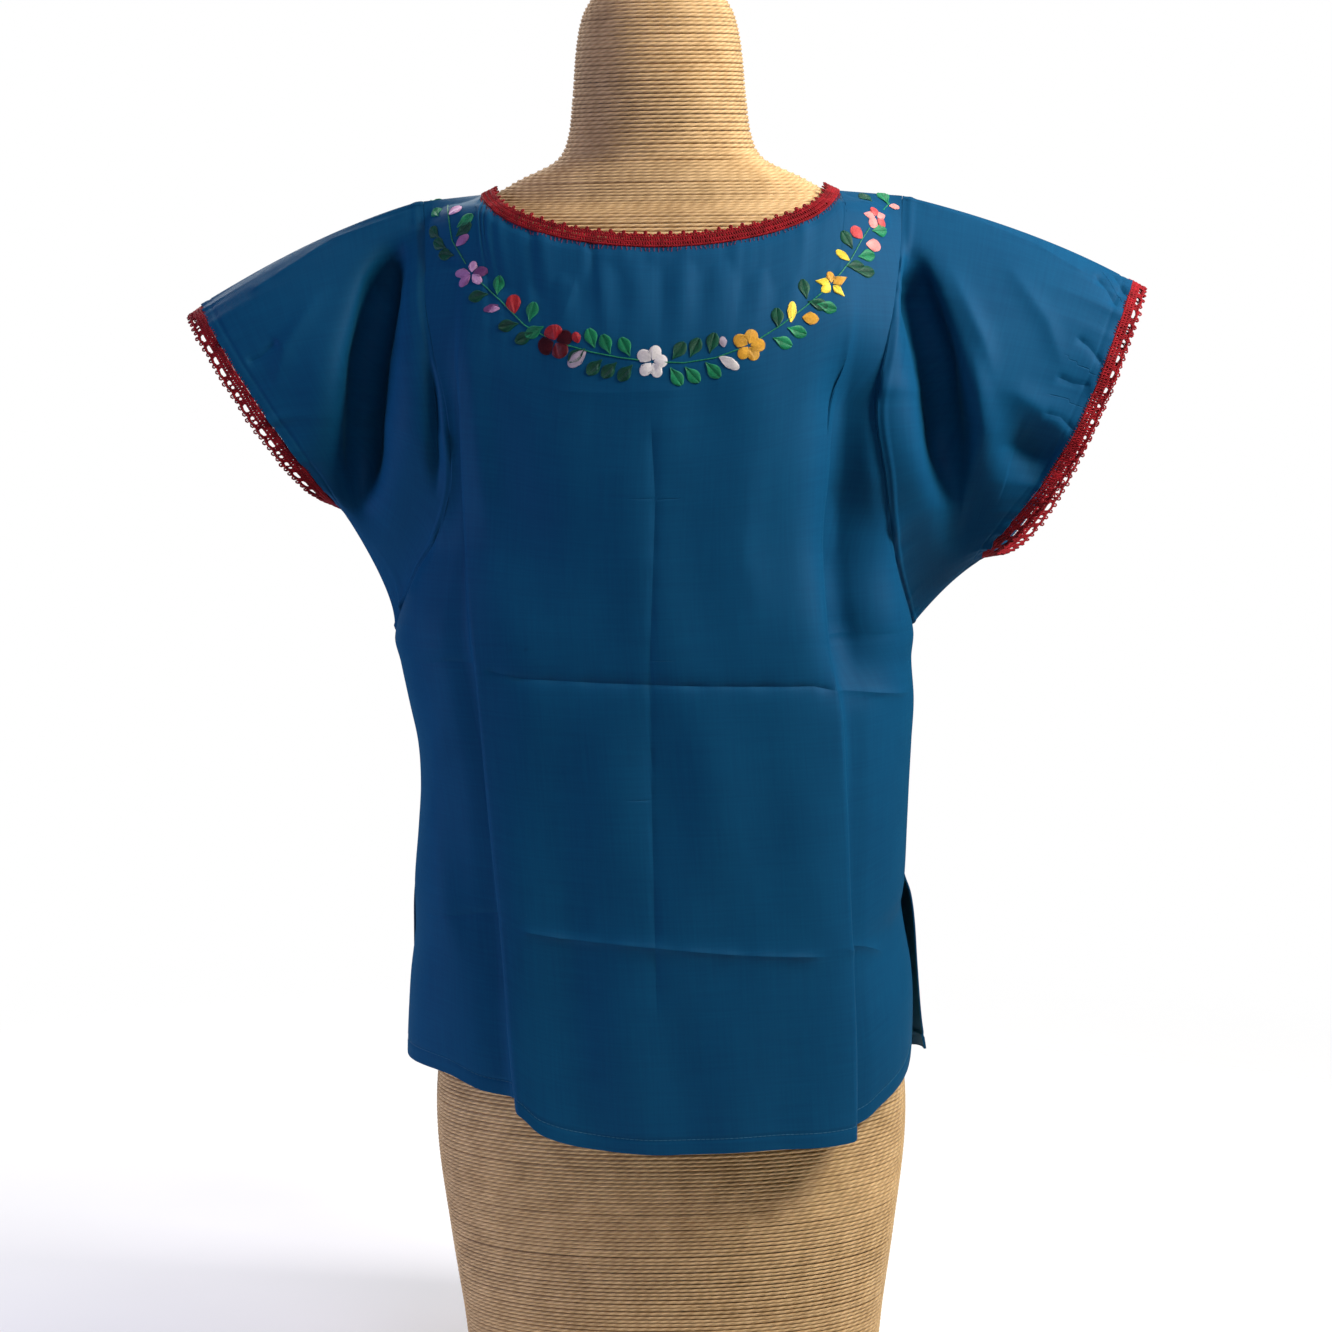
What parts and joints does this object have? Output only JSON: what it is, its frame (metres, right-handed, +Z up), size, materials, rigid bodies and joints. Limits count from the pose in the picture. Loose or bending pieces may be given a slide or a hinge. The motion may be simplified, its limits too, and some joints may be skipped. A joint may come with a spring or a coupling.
{
  "type": "short-sleeved embroidered blouse on a dress form",
  "caption": "Loose short-sleeved blouse with crocheted neck and cuff edgings and a garland of embroidered flowers, worn on a limbless twine-wrapped dress form.",
  "frame": {"origin": "centre of the dress form's flat base, which stands on the floor", "axes": "+Z up, -Y out of the garment's back, which is the side in the picture, +Y out of its front, +X to the right as seen from behind"},
  "size_m": [0.6827, 0.2562, 1.002],
  "materials": {
    "cloth": "plain-woven cotton, deep teal blue, faint sheen, pressed creases",
    "crochet": "matt dark red crochet cotton",
    "twine": "tan twisted plant-fibre twine in close level rows"
  },
  "bodies": {
    "root": {"dress_form": "twine", "back_panel": "cloth", "front_panel": "cloth", "sleeve_left": "cloth", "sleeve_right": "cloth", "neck_trim": "crochet", "cuff_left_back": "crochet", "cuff_left_front": "crochet", "cuff_right_back": "crochet", "cuff_right_front": "crochet"}
  },
  "joints": []
}
